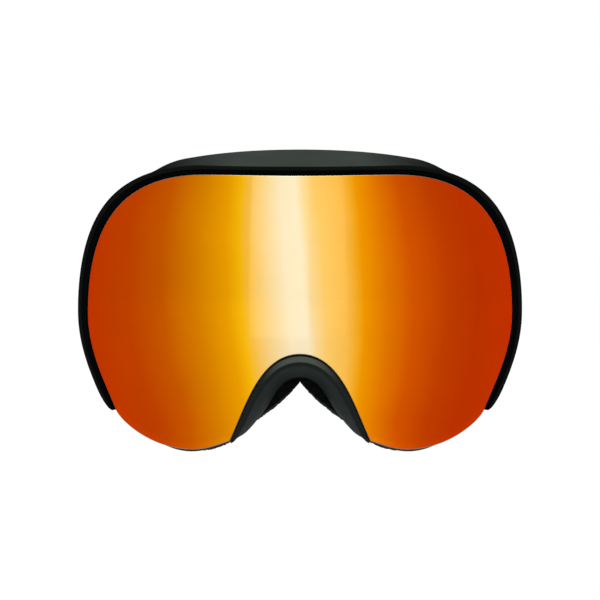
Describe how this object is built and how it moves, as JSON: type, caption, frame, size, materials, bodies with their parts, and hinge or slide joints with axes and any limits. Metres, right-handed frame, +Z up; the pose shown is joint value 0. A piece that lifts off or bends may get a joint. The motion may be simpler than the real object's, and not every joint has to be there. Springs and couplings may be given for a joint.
{
  "type": "ski goggles",
  "caption": "Ski goggles with a wraparound mirrored lens held by magnets, a soft frame with a nose arch, layered face foam, hinged strap arms and an adjustable elastic strap.",
  "frame": {"origin": "middle of the seat where the fleece meets the brow, at mid-height", "axes": "+Z up as worn, the lens faces -Y, +X to the right seen from the front, +Y towards the back of the head"},
  "size_m": [0.1746, 0.2386, 0.1182],
  "materials": {
    "mirror_lens": "polished orange to red mirror coating, golden towards the middle",
    "clear_lens": "clear amber anti-fog sheet",
    "hard_black": "satin moulded black plastic",
    "soft_frame": "soft-touch dark grey-green elastomer",
    "foam": "open-cell black foam",
    "fleece": "short black microfleece",
    "webbing": "ribbed black elastic webbing",
    "silicone": "smooth silicone print",
    "steel": "brushed",
    "magnet": "nickel plated"
  },
  "bodies": {
    "frame": {"inner_frame": "soft_frame", "outer_rim": "hard_black", "nose_bridge": "soft_frame", "frame_magnets": "magnet", "brow_vent_foam": "foam", "cheek_vent_foam_left": "foam", "cheek_vent_foam_right": "foam", "foam_base": "foam", "foam_middle": "foam", "fleece_lining": "fleece", "hinge_bracket_left": "hard_black", "hinge_bracket_right": "hard_black", "bracket_rivets": "steel", "hinge_pin_left": "steel", "hinge_pin_right": "steel", "strap_front_left": "webbing", "strap_front_right": "webbing", "strap_rear": "webbing", "silicone_grip": "silicone"},
    "lens": {"outer_lens": "mirror_lens", "inner_lens": "clear_lens", "lens_spacer": "foam", "lens_carrier": "hard_black", "lens_magnets": "magnet"},
    "arm_left": {"outrigger_left": "hard_black", "strap_tail_left": "webbing"},
    "adjuster_left": {"slider_left": "hard_black"},
    "arm_right": {"outrigger_right": "hard_black", "strap_tail_right": "webbing"},
    "adjuster_right": {"slider_right": "hard_black"}
  },
  "joints": [
    {"name": "lens_pull", "type": "slide", "parent": "frame", "child": "lens", "axis": [0, -1, 0], "range_m": [0, 0.06]},
    {"name": "arm_hinge_left", "type": "hinge", "parent": "frame", "child": "arm_left", "pos_m": [-0.0818, 0.02, 0], "axis": [0, 0, 1], "range_deg": [-5, 15], "deforming": ["strap_front_left"]},
    {"name": "arm_hinge_right", "type": "hinge", "parent": "frame", "child": "arm_right", "pos_m": [0.0818, 0.02, 0], "axis": [0, 0, -1], "range_deg": [-5, 15], "deforming": ["strap_front_right"]},
    {"name": "strap_adjust_left", "type": "slide", "parent": "arm_left", "child": "adjuster_left", "axis": [0, 1, 0], "range_m": [-0.01, 0.018], "deforming": ["strap_tail_left"]},
    {"name": "strap_adjust_right", "type": "slide", "parent": "arm_right", "child": "adjuster_right", "axis": [0, 1, 0], "range_m": [-0.01, 0.018], "deforming": ["strap_tail_right"]}
  ]
}
